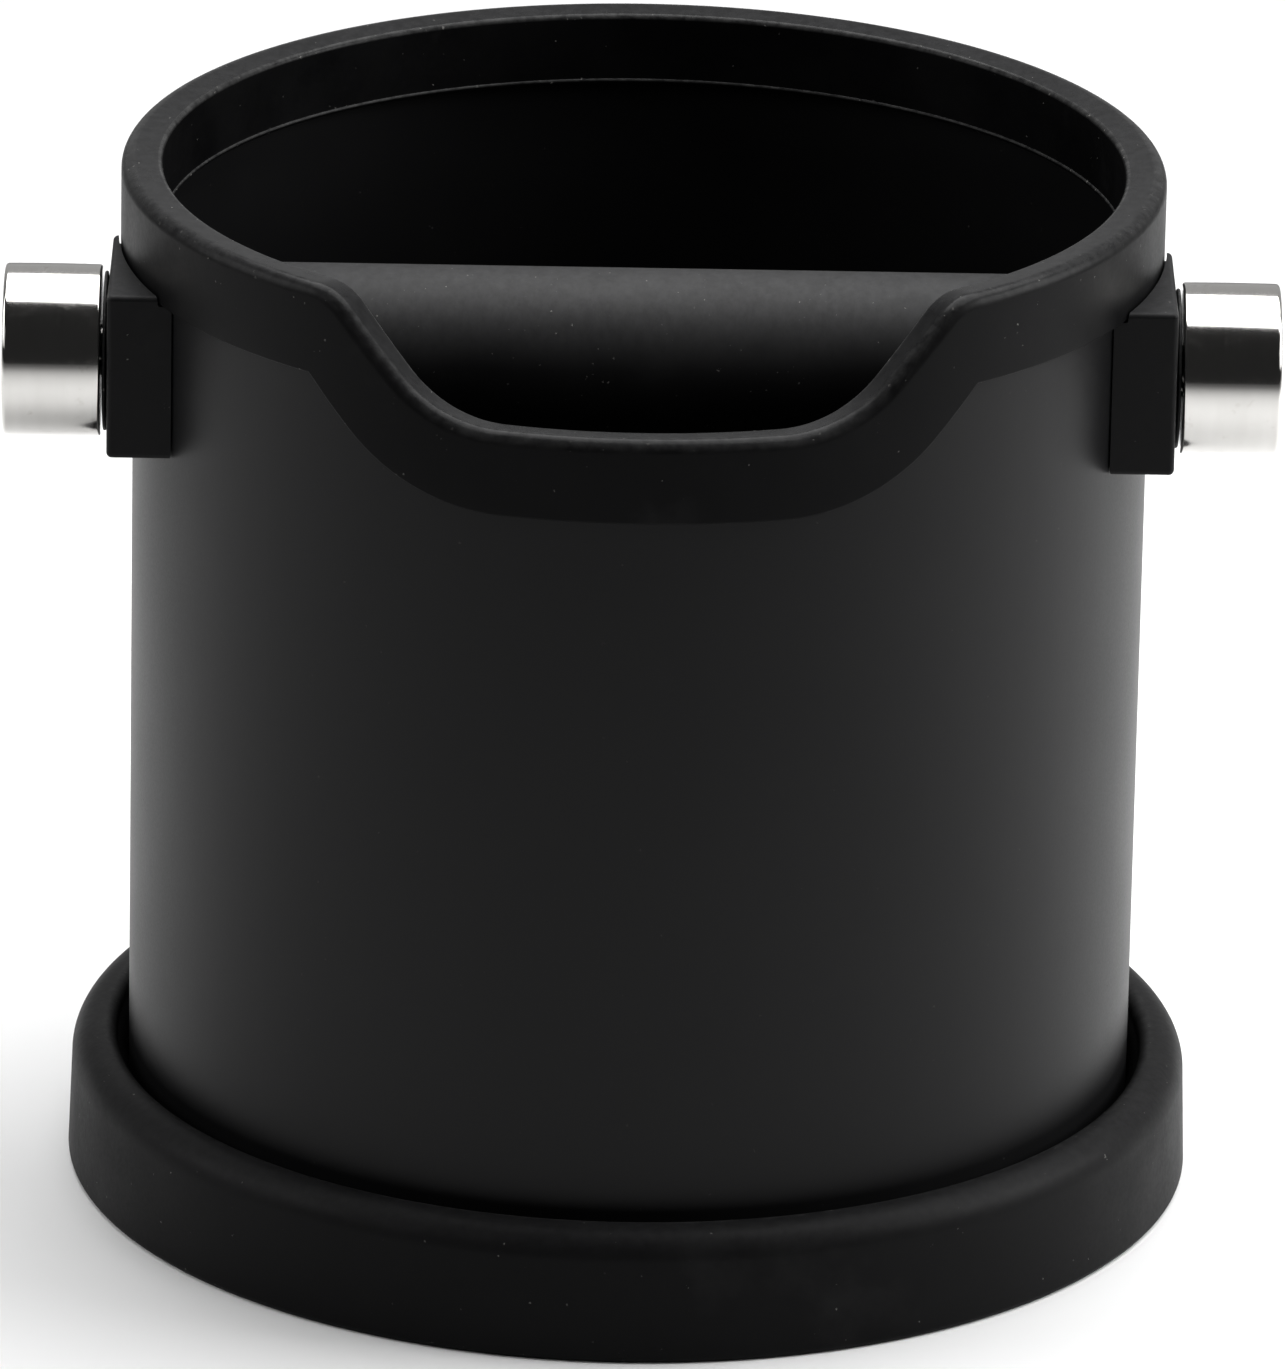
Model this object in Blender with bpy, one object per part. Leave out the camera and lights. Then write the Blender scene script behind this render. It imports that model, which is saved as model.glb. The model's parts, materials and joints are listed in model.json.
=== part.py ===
"""Espresso knock box: a scooped steel drum with a rubber rim and boot, crossed by a rubber knock bar.

Metres, +Z up.  The origin is the centre of the face it stands on, the scoop faces -Y, and the
knock bar runs along X.  The two bar ends are mirror images, so each end piece is made by a loop.
"""
import math

import bmesh
import bpy
from mathutils import Matrix

GAP = 0.0003                       # clearance between pieces that touch

# Drum: deep-drawn steel bucket
DRUM_R = 0.0750                    # outside radius
WALL = 0.0010                      # sheet thickness
DRUM_BOTTOM = 0.0033               # underside of the drum, standing in the boot
DRUM_CORNER_R = 0.0050             # outside radius between floor and wall
EDGE_Z = 0.1545                    # bare steel edge, away from the scoop

# Scoop in the front of the edge, measured along the wall and down from the edge
SCOOP_DEPTH = 0.0172
SCOOP_HALF = 0.0508                # half length of the scoop, along the wall
SCOOP_SHOULDER_R = 0.0066
SCOOP_SLOPE = math.radians(44.7)
SCOOP_HOLLOW_R = 0.0241

# Rim trim: rubber channel pushed over the steel edge
TRIM_OUT_R = 0.07685
TRIM_IN_R = 0.0708
TRIM_CREST = 0.0021                # rubber above the steel edge
TRIM_CREST_FALL = 0.0004           # how much the crest falls towards the inside
TRIM_CREST_OUT_ROUND = 0.0012
TRIM_CREST_IN_ROUND = 0.0008
TRIM_OUT_DROP = 0.0112             # outer wall, below the steel edge
TRIM_IN_DROP = 0.0092              # inner wall, below the steel edge
TRIM_SCOOP_NARROWING = 0.0009      # how much less the outer wall drops in the scoop
TRIM_SCOOP_TUCK = 1.04             # how much shorter the outer wall's scoop is than the edge's
TRIM_LIP_R = 0.0005                # rounding of both lower lips

# Boot: rubber cup that the drum stands in
BOOT_FOOT_R = 0.0840
BOOT_TOP_R = 0.0835
BOOT_HEIGHT = 0.0200
BOOT_FLOOR = 0.0030
BOOT_SHOULDER_R = 0.0055
BOOT_MOUTH_R = 0.0768              # widened mouth of the boot
BOOT_MOUTH_DEPTH = 0.0045
BOOT_GROOVES = (0.0580, 0.0700)    # middle radii of the two grip grooves underneath
BOOT_GROOVE_HALF = 0.0012
BOOT_GROOVE_DEPTH = 0.0008

# Knock bar, on an axis parallel to X
BAR_Y = -0.0170
BAR_Z = 0.1313
SLEEVE_R = 0.0134
CORE_R = 0.0070
CORE_HALF = 0.0644                 # half length of core and sleeve
TAPPED_DEPTH = 0.0145
BORE_R = 0.0043                    # tapped and clearance holes for the studs

# Rubber seats on each side of the wall
WALL_HOLE_R = 0.0090
SEAT_R = 0.0132                    # inner seat
BLOCK_OUT_X = 0.0779
BLOCK_FRONT_Y = -0.0313
BLOCK_BACK_Y = -0.0026
BLOCK_BOTTOM_Z = 0.1195
BLOCK_TOP_Z = 0.1445
BLOCK_EDGE = 0.0008

# Knobs, studs and washers
STUD_R = 0.0040
STUD_ENGAGEMENT = 0.0120           # stud length inside the core
END_WASHER_R = 0.0124
THRUST_WASHER_R = 0.0117
THRUST_WASHER_THICK = 0.0005
WASHER_THICK = 0.0008
KNOB_R = 0.0127
KNOB_LENGTH = 0.0143
KNOB_SOCKET_DEPTH = 0.0090
KNOB_ROUND = 0.0012

RING_STEPS = 56                    # facets round the large pieces
SMALL_STEPS = 28                   # facets round the bar and its fittings

RUBBER_COLOUR = (0.012, 0.012, 0.013)
COAT_COLOUR = (0.016, 0.016, 0.017)
STEEL_COLOUR = (0.72, 0.71, 0.69)


def material(name, colour, roughness, metallic=0.0):
    """A Principled material with one colour."""
    made = bpy.data.materials.new(name)
    made.use_nodes = True
    shader = made.node_tree.nodes["Principled BSDF"]
    shader.inputs["Base Color"].default_value = (*colour, 1.0)
    shader.inputs["Roughness"].default_value = roughness
    shader.inputs["Metallic"].default_value = metallic
    return made


def add_object(name, bm, finish, origin=(0.0, 0.0, 0.0)):
    """Turn a bmesh into a smooth-shaded object whose mesh is measured from its origin."""
    bmesh.ops.remove_doubles(bm, verts=bm.verts, dist=1e-7)
    bmesh.ops.dissolve_degenerate(bm, edges=bm.edges, dist=1e-7)
    bmesh.ops.recalc_face_normals(bm, faces=bm.faces)
    mesh = bpy.data.meshes.new(name)
    bm.to_mesh(mesh)
    bm.free()
    mesh.shade_smooth()
    mesh.set_sharp_from_angle(angle=math.radians(35))
    if finish is not None:
        mesh.materials.append(finish)
    made = bpy.data.objects.new(name, mesh)
    made.location = origin
    bpy.context.collection.objects.link(made)
    return made


def arc(centre, radius, start, end, steps):
    """Points on an arc in a profile plane, angles in degrees."""
    points = []
    for i in range(steps + 1):
        angle = math.radians(start + (end - start) * i / steps)
        x = centre[0] + radius * math.cos(angle)
        y = centre[1] + radius * math.sin(angle)
        points.append((x, y))
    return points


def spun(profile, steps, turn=None):
    """Spin a closed (radius, height) profile about Z, then turn it with a matrix if one is given."""
    bm = bmesh.new()
    verts = [bm.verts.new((radius, 0.0, height)) for radius, height in profile]
    edges = [bm.edges.new((verts[i - 1], verts[i])) for i in range(len(verts))]
    bmesh.ops.spin(bm, geom=verts + edges, cent=(0, 0, 0), axis=(0, 0, 1),
                   angle=math.tau, steps=steps, use_merge=True)
    bmesh.ops.remove_doubles(bm, verts=bm.verts, dist=1e-7)
    if turn is not None:
        bmesh.ops.transform(bm, matrix=turn, verts=bm.verts)
    return bm


def along_x(side):
    """Matrix that lays a profile's height axis along X, outwards on the given side."""
    return Matrix.Rotation(side * math.pi / 2, 4, "Y")


def boolean(target, cutter, operation):
    """Cut, keep or join with a hidden helper solid."""
    cutter.hide_render = True
    cutter.display_type = "WIRE"
    modifier = target.modifiers.new(operation.title(), "BOOLEAN")
    modifier.operation = operation
    modifier.solver = "EXACT"
    modifier.object = cutter


# The scooped edge, laid out flat: along is the distance round the wall from the scoop's middle.

def scoop_side(steps=24):
    """One side of the scoop's outline, from its shoulder inwards, as (along, height below edge)."""
    points = []
    for i in range(steps + 1):
        angle = SCOOP_SLOPE * i / steps
        along = -SCOOP_HALF + SCOOP_SHOULDER_R * math.sin(angle)
        points.append((along, -SCOOP_SHOULDER_R * (1 - math.cos(angle))))
    curved_drop = (SCOOP_SHOULDER_R + SCOOP_HOLLOW_R) * (1 - math.cos(SCOOP_SLOPE))
    straight_drop = SCOOP_DEPTH - curved_drop
    straight_run = straight_drop / math.tan(SCOOP_SLOPE)
    start = points[-1]
    for i in range(1, steps + 1):
        part = i / steps
        points.append((start[0] + straight_run * part, start[1] - straight_drop * part))
    centre_along = points[-1][0] + SCOOP_HOLLOW_R * math.sin(SCOOP_SLOPE)
    for i in range(1, steps + 1):
        angle = SCOOP_SLOPE * (1 - i / steps)
        along = centre_along - SCOOP_HOLLOW_R * math.sin(angle)
        points.append((along, -SCOOP_DEPTH + SCOOP_HOLLOW_R * (1 - math.cos(angle))))
    return points


def edge_outline(spacing=0.0004):
    """The whole steel edge near the scoop, as closely spaced (along, height) points."""
    side = scoop_side()
    reach = int((TRIM_OUT_DROP + 0.004) / spacing)
    level = [(-SCOOP_HALF - spacing * i, 0.0) for i in range(reach, 0, -1)]
    flat_end = side[-1][0]
    count = int(-flat_end / spacing)
    bottom = [(flat_end * (1 - i / count), -SCOOP_DEPTH) for i in range(1, count + 1)]
    left = level + side + bottom
    right = [(-along, height) for along, height in reversed(left[:-1])]
    return left + right


EDGE_OUTLINE = edge_outline()


def edge_height(along):
    """Height of the steel edge at a place round the wall."""
    if abs(along) >= SCOOP_HALF:
        return EDGE_Z
    for (a, low), (b, high) in zip(EDGE_OUTLINE, EDGE_OUTLINE[1:]):
        if a <= along <= b:
            return EDGE_Z + low + (high - low) * (along - a) / (b - a)
    return EDGE_Z


def offset_height(along, offset):
    """Height of a line that keeps a fixed distance from the steel edge, as a rolled disc would."""
    if offset == 0.0:
        return edge_height(along)
    if abs(along) > SCOOP_HALF + abs(offset) + 0.002:
        return EDGE_Z + offset
    sign = math.copysign(1.0, offset)
    heights = []
    for a, height in EDGE_OUTLINE:
        rest = offset * offset - (along - a) ** 2
        if rest > 0.0:
            heights.append(sign * height + math.sqrt(rest))
    return EDGE_Z + sign * max(heights)


def column_angles():
    """Angles round the drum from its front, closer together where the scoop's outline bends."""
    step = math.tau / RING_STEPS
    bend_from = 0.020 / DRUM_R
    bend_to = 0.056 / DRUM_R
    angles = []
    for i in range(RING_STEPS):
        angle = -math.pi + step * i
        angles.append(angle)
        if bend_from < abs(angle + step / 2) < bend_to:
            angles += [angle + step * part / 4 for part in (1, 2, 3)]
    return angles


def wrapped(section):
    """A shell round Z whose closed (radius, height) section changes with the place round it."""
    bm = bmesh.new()
    columns = []
    for angle in column_angles():
        column = []
        for radius, height in section(angle * DRUM_R):
            place = (radius * math.sin(angle), -radius * math.cos(angle), height)
            column.append(bm.verts.new(place))
        columns.append(column)
    for i, column in enumerate(columns):
        before = columns[i - 1]
        for j in range(len(column)):
            bm.faces.new((before[j - 1], column[j - 1], column[j], before[j]))
    return bm


def drum_section(along):
    """Section of the steel sheet from the middle of the floor, up to the edge and back."""
    edge = edge_height(along)
    corner = (DRUM_R - DRUM_CORNER_R, DRUM_BOTTOM + DRUM_CORNER_R)
    outside = arc(corner, DRUM_CORNER_R, -90, 0, 4)
    inside = arc(corner, DRUM_CORNER_R - WALL, 0, -90, 4)
    top = [(DRUM_R, edge), (DRUM_R - WALL, edge)]
    return [(0.0, DRUM_BOTTOM)] + outside + top + inside + [(0.0, DRUM_BOTTOM + WALL)]


def trim_section(along):
    """Section of the rubber channel: two walls joined over the steel edge by a nearly flat crest."""
    inner_slot = DRUM_R - WALL - GAP
    outer_slot = DRUM_R + GAP
    out_corner = (TRIM_OUT_R - TRIM_CREST_OUT_ROUND, TRIM_CREST - TRIM_CREST_OUT_ROUND)
    in_corner = (TRIM_IN_R + TRIM_CREST_IN_ROUND,
                 TRIM_CREST - TRIM_CREST_FALL - TRIM_CREST_IN_ROUND)
    crest = arc(out_corner, TRIM_CREST_OUT_ROUND, 0, 90, 4)
    crest += arc(in_corner, TRIM_CREST_IN_ROUND, 90, 180, 3)
    inner_lip = arc((TRIM_IN_R + TRIM_LIP_R, -TRIM_IN_DROP + TRIM_LIP_R), TRIM_LIP_R, 180, 270, 1)
    outer_drop = TRIM_OUT_DROP - TRIM_SCOOP_NARROWING * (EDGE_Z - edge_height(along)) / SCOOP_DEPTH
    outer_lip = arc((TRIM_OUT_R - TRIM_LIP_R, -outer_drop + TRIM_LIP_R), TRIM_LIP_R, 270, 360, 1)
    inside = crest + inner_lip + [(inner_slot, -TRIM_IN_DROP)]
    outside = [(outer_slot, -outer_drop)] + outer_lip
    slot_top = edge_height(along) + 2 * GAP
    section = [(radius, offset_height(along, offset)) for radius, offset in inside]
    section += [(inner_slot, slot_top), (outer_slot, slot_top)]
    tucked = along * TRIM_SCOOP_TUCK
    section += [(radius, offset_height(tucked, offset)) for radius, offset in outside]
    return section


def make_drum(finish):
    drum = add_object("drum_shell", wrapped(drum_section), finish)
    for side in (-1, 1):
        profile = [(0.0, 0.060), (WALL_HOLE_R, 0.060), (WALL_HOLE_R, 0.080), (0.0, 0.080)]
        hole = add_object("wall_hole_cutter", spun(profile, SMALL_STEPS, along_x(side)), None,
                          (0.0, BAR_Y, BAR_Z))
        boolean(drum, hole, "DIFFERENCE")
    return drum


def make_trim(finish):
    return add_object("rim_trim", wrapped(trim_section), finish)


def make_boot(finish):
    """The rubber cup: grooved floor, slightly flared side, round shoulder and widened mouth."""
    profile = [(0.0, 0.0)]
    for radius in BOOT_GROOVES:
        inner = radius - BOOT_GROOVE_HALF
        outer = radius + BOOT_GROOVE_HALF
        slant = BOOT_GROOVE_DEPTH * 0.5
        profile += [(inner, 0.0), (inner + slant, BOOT_GROOVE_DEPTH)]
        profile += [(outer - slant, BOOT_GROOVE_DEPTH), (outer, 0.0)]
    foot_round = 0.0010
    profile += arc((BOOT_FOOT_R - foot_round, foot_round), foot_round, -90, 0, 2)
    shoulder = (BOOT_TOP_R - BOOT_SHOULDER_R, BOOT_HEIGHT - BOOT_SHOULDER_R)
    profile += arc(shoulder, BOOT_SHOULDER_R, 0, 90, 5)
    mouth_round = 0.0012
    profile += arc((BOOT_MOUTH_R + mouth_round, BOOT_HEIGHT - mouth_round), mouth_round, 90, 180, 2)
    profile += [(BOOT_MOUTH_R - 0.0002, BOOT_HEIGHT - BOOT_MOUTH_DEPTH * 0.6),
                (DRUM_R + GAP, BOOT_HEIGHT - BOOT_MOUTH_DEPTH)]
    seat_corner = (DRUM_R - DRUM_CORNER_R, BOOT_FLOOR + DRUM_CORNER_R)
    profile += arc(seat_corner, DRUM_CORNER_R + GAP, 0, -90, 4)
    profile += [(0.0, BOOT_FLOOR)]
    return add_object("base_boot", spun(profile, RING_STEPS), finish)


def make_core(finish):
    """Steel rod with a tapped hole and a chamfer at each end, made as two joined halves."""
    chamfer = 0.0005
    tapped = CORE_HALF - TAPPED_DEPTH
    profile = [(0.0, -tapped), (BORE_R, -tapped), (BORE_R, -CORE_HALF + chamfer)]
    profile += [(BORE_R + chamfer, -CORE_HALF), (CORE_R - chamfer, -CORE_HALF)]
    profile += [(CORE_R, -CORE_HALF + chamfer)]
    profile += [(radius, -height) for radius, height in reversed(profile)]
    return add_object("bar_core", spun(profile, SMALL_STEPS, along_x(1)), finish, (0.0, BAR_Y, BAR_Z))


def make_sleeve(finish):
    edge = 0.0008
    inner = CORE_R + GAP
    profile = [(inner, -CORE_HALF), (SLEEVE_R - edge, -CORE_HALF)]
    profile += [(SLEEVE_R, -CORE_HALF + edge), (SLEEVE_R, CORE_HALF - edge)]
    profile += [(SLEEVE_R - edge, CORE_HALF), (inner, CORE_HALF)]
    return add_object("bar_sleeve", spun(profile, SMALL_STEPS + 8, along_x(1)), finish,
                      (0.0, BAR_Y, BAR_Z))


def make_washer(name, side, radius, inner_face, outer_face, finish):
    profile = [(BORE_R, inner_face), (radius, inner_face)]
    profile += [(radius, outer_face), (BORE_R, outer_face)]
    return add_object(name, spun(profile, SMALL_STEPS, along_x(side)), finish, (0.0, BAR_Y, BAR_Z))


def make_inner_seat(name, side, inner_face, finish):
    """Rubber disc between bar and wall: flat towards the bar, curved like the wall outside."""
    profile = [(BORE_R, inner_face), (SEAT_R, inner_face), (SEAT_R, 0.080), (BORE_R, 0.080)]
    seat = add_object(name, spun(profile, SMALL_STEPS, along_x(side)), finish, (0.0, BAR_Y, BAR_Z))
    radius = DRUM_R - WALL - GAP
    inside = [(0.0, -0.030), (radius, -0.030), (radius, 0.030), (0.0, 0.030)]
    limit = add_object("inner_wall_limit", spun(inside, RING_STEPS), None, (0.0, 0.0, BAR_Z))
    boolean(seat, limit, "INTERSECT")
    return seat


def block_body(side):
    """Bevelled brick over the wall, before it is hollowed to the drum's curve."""
    bm = bmesh.new()
    bmesh.ops.create_cube(bm, size=1.0)
    inner_x = 0.060
    size = (BLOCK_OUT_X - inner_x, BLOCK_BACK_Y - BLOCK_FRONT_Y, BLOCK_TOP_Z - BLOCK_BOTTOM_Z)
    centre = (side * (BLOCK_OUT_X + inner_x) / 2, (BLOCK_BACK_Y + BLOCK_FRONT_Y) / 2 - BAR_Y,
              (BLOCK_TOP_Z + BLOCK_BOTTOM_Z) / 2 - BAR_Z)
    bmesh.ops.scale(bm, vec=size, verts=bm.verts)
    bmesh.ops.translate(bm, vec=centre, verts=bm.verts)
    bmesh.ops.bevel(bm, geom=list(bm.edges), offset=BLOCK_EDGE, segments=2, profile=0.5,
                    affect="EDGES")
    return bm


def make_block(side, name, finish):
    """Rubber block outside the wall, notched under the trim, with a spigot in the wall's hole."""
    place = (0.0, BAR_Y, BAR_Z)
    block = add_object(name, block_body(side), finish, place)
    outer = DRUM_R + GAP
    drum_round = [(0.0, -0.040), (outer, -0.040), (outer, 0.040), (0.0, 0.040)]
    hollow = add_object("block_hollow_cutter", spun(drum_round, RING_STEPS), None, (0.0, 0.0, BAR_Z))
    boolean(block, hollow, "DIFFERENCE")
    band_r = TRIM_OUT_R + GAP
    band_low = EDGE_Z - TRIM_OUT_DROP - GAP - BAR_Z
    band_round = [(0.0, band_low), (band_r, band_low), (band_r, 0.040), (0.0, 0.040)]
    notch = add_object("block_notch_cutter", spun(band_round, RING_STEPS), None, (0.0, 0.0, BAR_Z))
    boolean(block, notch, "DIFFERENCE")
    spigot_r = WALL_HOLE_R - GAP
    rod = [(0.0, 0.060), (spigot_r, 0.060), (spigot_r, 0.0768), (0.0, 0.0768)]
    spigot = add_object("block_spigot_helper", spun(rod, SMALL_STEPS, along_x(side)), None, place)
    boolean(block, spigot, "UNION")
    inner = DRUM_R - WALL
    inside = [(0.0, -0.050), (inner, -0.050), (inner, 0.050), (0.0, 0.050)]
    trimmer = add_object("spigot_end_cutter", spun(inside, RING_STEPS), None, (0.0, 0.0, BAR_Z))
    boolean(block, trimmer, "DIFFERENCE")
    drill = [(0.0, 0.050), (BORE_R, 0.050), (BORE_R, 0.090), (0.0, 0.090)]
    bore = add_object("block_bore_cutter", spun(drill, SMALL_STEPS, along_x(side)), None, place)
    boolean(block, bore, "DIFFERENCE")
    return block


def make_knob(side, name, inner_face, finish):
    """Turned knob: round outer edge, chamfered inner edge and a blind socket for its stud."""
    outer_face = inner_face + KNOB_LENGTH
    chamfer = 0.0006
    profile = [(BORE_R, inner_face), (KNOB_R - chamfer, inner_face), (KNOB_R, inner_face + chamfer)]
    profile += arc((KNOB_R - KNOB_ROUND, outer_face - KNOB_ROUND), KNOB_ROUND, 0, 90, 3)
    profile += [(0.0, outer_face), (0.0, inner_face + KNOB_SOCKET_DEPTH)]
    profile += [(BORE_R, inner_face + KNOB_SOCKET_DEPTH)]
    return add_object(name, spun(profile, SMALL_STEPS + 4, along_x(side)), finish,
                      (0.0, BAR_Y, BAR_Z))


def make_stud(side, name, knob_face, finish):
    inner_end = CORE_HALF - STUD_ENGAGEMENT
    outer_end = knob_face + KNOB_SOCKET_DEPTH - GAP
    chamfer = 0.0008
    profile = [(0.0, inner_end), (STUD_R - chamfer, inner_end), (STUD_R, inner_end + chamfer)]
    profile += [(STUD_R, outer_end), (0.0, outer_end)]
    return add_object(name, spun(profile, SMALL_STEPS - 8, along_x(side)), finish, (0.0, BAR_Y, BAR_Z))


def main():
    for old in list(bpy.data.objects):
        bpy.data.objects.remove(old, do_unlink=True)
    coat = material("black_powder_coat", COAT_COLOUR, 0.5)
    rubber = material("black_rubber", RUBBER_COLOUR, 0.7)
    steel = material("stainless_steel", STEEL_COLOUR, 0.22, 1.0)

    make_drum(coat)
    make_trim(rubber)
    make_boot(rubber)
    make_core(steel)
    make_sleeve(rubber)

    end_washer_face = CORE_HALF + GAP
    end_washer_back = end_washer_face + WASHER_THICK
    seat_face = end_washer_back + GAP
    thrust_washer_face = BLOCK_OUT_X + GAP
    thrust_washer_back = thrust_washer_face + THRUST_WASHER_THICK
    knob_face = thrust_washer_back + GAP
    for side, label in ((-1, "left"), (1, "right")):
        make_washer("end_washer_" + label, side, END_WASHER_R, end_washer_face, end_washer_back,
                    steel)
        make_inner_seat("inner_seat_" + label, side, seat_face, rubber)
        make_block(side, "mounting_block_" + label, rubber)
        make_washer("thrust_washer_" + label, side, THRUST_WASHER_R, thrust_washer_face,
                    thrust_washer_back, rubber)
        make_knob(side, "knob_" + label, knob_face, steel)
        make_stud(side, "knob_stud_" + label, knob_face, steel)


main()
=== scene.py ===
import json
import math

import bmesh
import bpy
import numpy as np
from mathutils import Matrix, Vector


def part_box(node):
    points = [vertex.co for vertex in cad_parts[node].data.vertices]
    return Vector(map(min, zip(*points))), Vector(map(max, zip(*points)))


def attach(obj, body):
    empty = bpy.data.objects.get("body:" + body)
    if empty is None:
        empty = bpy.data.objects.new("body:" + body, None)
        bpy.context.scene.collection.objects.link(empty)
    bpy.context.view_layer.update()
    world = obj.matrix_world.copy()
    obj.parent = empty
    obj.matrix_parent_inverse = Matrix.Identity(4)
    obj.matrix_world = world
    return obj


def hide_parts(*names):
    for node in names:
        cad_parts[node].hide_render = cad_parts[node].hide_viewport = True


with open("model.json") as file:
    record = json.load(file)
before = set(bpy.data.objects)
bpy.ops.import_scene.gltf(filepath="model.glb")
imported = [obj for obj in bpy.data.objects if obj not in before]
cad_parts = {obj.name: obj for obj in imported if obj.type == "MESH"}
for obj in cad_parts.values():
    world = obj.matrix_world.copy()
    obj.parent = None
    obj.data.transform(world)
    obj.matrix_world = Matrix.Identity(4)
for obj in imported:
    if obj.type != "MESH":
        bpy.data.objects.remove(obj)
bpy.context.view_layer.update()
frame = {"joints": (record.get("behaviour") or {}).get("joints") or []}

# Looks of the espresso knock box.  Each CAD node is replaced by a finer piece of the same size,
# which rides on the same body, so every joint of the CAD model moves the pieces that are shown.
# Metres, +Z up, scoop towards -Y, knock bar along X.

# ---------------------------------------------------------------- sizes

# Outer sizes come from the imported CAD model, and the other main outlines repeat its numbers.  The
# rounding of edges follows the highlights in the photo instead, so it differs a little from the
# CAD's.  Thread relief, the lip's bead and the soft edges of grooves and sheet are only here.

GAP = 0.0003                       # clearance between pieces that touch

drum_low, drum_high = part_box("drum_shell")
trim_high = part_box("rim_trim")[1]
boot_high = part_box("base_boot")[1]
sleeve_low, sleeve_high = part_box("bar_sleeve")
core_low, core_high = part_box("bar_core")

DRUM_R = drum_high.x
DRUM_BOTTOM = drum_low.z
EDGE_Z = drum_high.z
WALL = 0.0010
SHEET_EDGE_ROUND = WALL * 0.35
DRUM_CORNER_R = 0.0050

SCOOP_DEPTH = 0.0172
SCOOP_HALF = 0.0508                # half length of the scoop, along the wall
SCOOP_SHOULDER_R = 0.0066
SCOOP_SLOPE = math.radians(44.7)   # of its straight flanks
SCOOP_HOLLOW_R = 0.0241
SCOOP_MARGIN = 0.004               # how far the tabulated outline goes on beyond the trim
LEVEL_MARGIN = 0.002               # beyond this and the offset, an offset line is level
FINE_COLUMNS_HALF = 0.060          # half length of wall, at the scoop, with closer columns

TRIM_OUT_R = trim_high.x
TRIM_IN_R = 0.0708
TRIM_CREST = trim_high.z - EDGE_Z  # rubber above the steel edge
TRIM_CREST_FALL = 0.0004           # how much the crest falls towards the inside
TRIM_CREST_OUT_ROUND = 0.0019
TRIM_CREST_IN_ROUND = 0.0008
TRIM_OUT_DROP = 0.0112             # outer wall, below the steel edge
TRIM_IN_DROP = 0.0092              # inner wall, below the steel edge
TRIM_SCOOP_NARROWING = 0.0009      # how much less the outer wall drops in the scoop
TRIM_SCOOP_TUCK = 1.04             # how much shorter the outer wall's scoop is than the edge's
TRIM_OUT_LIP_R = 0.0003
TRIM_IN_LIP_R = 0.0004
TRIM_BEAD = 0.0002                 # how far the inner lip's bead stands proud
TRIM_BEAD_FADE = 0.0002            # height over which the bead runs out into the wall

BOOT_FOOT_R = boot_high.x
BOOT_TOP_R = 0.0835
BOOT_HEIGHT = boot_high.z
BOOT_FLOOR = 0.0030
BOOT_SHOULDER_R = 0.0048
BOOT_FOOT_ROUND = 0.0010
BOOT_MOUTH_R = 0.0768
BOOT_MOUTH_ROUND = 0.0019
BOOT_MOUTH_DEPTH = 0.0045
BOOT_MOUTH_TAPER = 0.0002
BOOT_GROOVES = (0.0580, 0.0700)    # middle radii of the two grip grooves underneath
BOOT_GROOVE_HALF = 0.0012
BOOT_GROOVE_DEPTH = 0.0008
BOOT_GROOVE_SOFT = 0.0003
BOOT_GROOVE_DRAFT = 0.0001

joint_of = {joint["name"]: joint for joint in frame["joints"]}
BAR_AXIS = Vector(joint_of["bar_turn"]["pos_m"])
SLEEVE_R = (sleeve_high.z - sleeve_low.z) / 2
CORE_R = (core_high.z - core_low.z) / 2
CORE_HALF = core_high.x
TAPPED_DEPTH = 0.0145
BORE_R = 0.0043                    # clearance holes for the studs
SPIGOT_R = 0.0087
SPIGOT_END_X = 0.0768
WALL_HOLE_R = 0.0090
SOCKET_DEPTH = 0.0090              # hole in each knob that holds its stud
THREAD_PITCH = 0.00125
THREAD_DEPTH = 0.00062
THREAD_CREST_SHARE = 0.12          # flat crest, as a share of half a pitch
THREAD_FLANK_SHARE = 0.72
THREAD_ROWS = 12                   # rows of points in one pitch
STUD_TIP = 0.0010                  # length and smallest share of radius of a stud's tapered tip
STUD_TIP_SHARE = 0.78

INSIDE_WALL_X = 0.060              # helper shapes start here, inside the drum's wall
OUTSIDE_WALL_X = 0.080             # and end here, outside it
CUTTER_MARGIN = 0.010              # how far some cutters go on beyond what they cut
SEAT_CUTTER_HALF = 0.030           # half heights of upright cutters, centred on the bar's axis
BLOCK_CUTTER_HALF = 0.040
SPIGOT_CUTTER_HALF = 0.050

RING_STEPS = 360                   # columns round the large pieces
SMALL_STEPS = 128                  # columns round the bar and its fittings
STUD_STEPS = 64
CUTTER_STEPS = 256
SHARP_ANGLE = math.radians(38)     # edges that bend more than this are shaded as sharp

WEAR_BEND = 150.0                  # bend in 1/m from which an edge shows wear
WEAR_BEND_SPAN = 1500.0            # and how much more bend gives full wear


# ---------------------------------------------------------------- meshes

def arc(centre, radius, start, end, steps):
    """Points on an arc in a profile plane, angles in degrees."""
    points = []
    for i in range(steps + 1):
        angle = math.radians(start + (end - start) * i / steps)
        points.append((centre[0] + radius * math.cos(angle), centre[1] + radius * math.sin(angle)))
    return points


def line(start, end, steps):
    """Points after start, up to and with end."""
    points = []
    for i in range(1, steps + 1):
        part = i / steps
        points.append((start[0] + (end[0] - start[0]) * part,
                       start[1] + (end[1] - start[1]) * part))
    return points


def bends(profile):
    """How sharply a closed profile bends at each point, in 1/m, for the wear along edges."""
    points = np.array(profile)
    before = points - np.roll(points, 1, axis=0)
    after = np.roll(points, -1, axis=0) - points
    turn = np.arctan2(before[:, 0] * after[:, 1] - before[:, 1] * after[:, 0],
                      (before * after).sum(axis=1))
    length = (np.hypot(*before.T) + np.hypot(*after.T)) / 2
    return np.abs(turn) / np.maximum(length, 1e-5)


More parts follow.
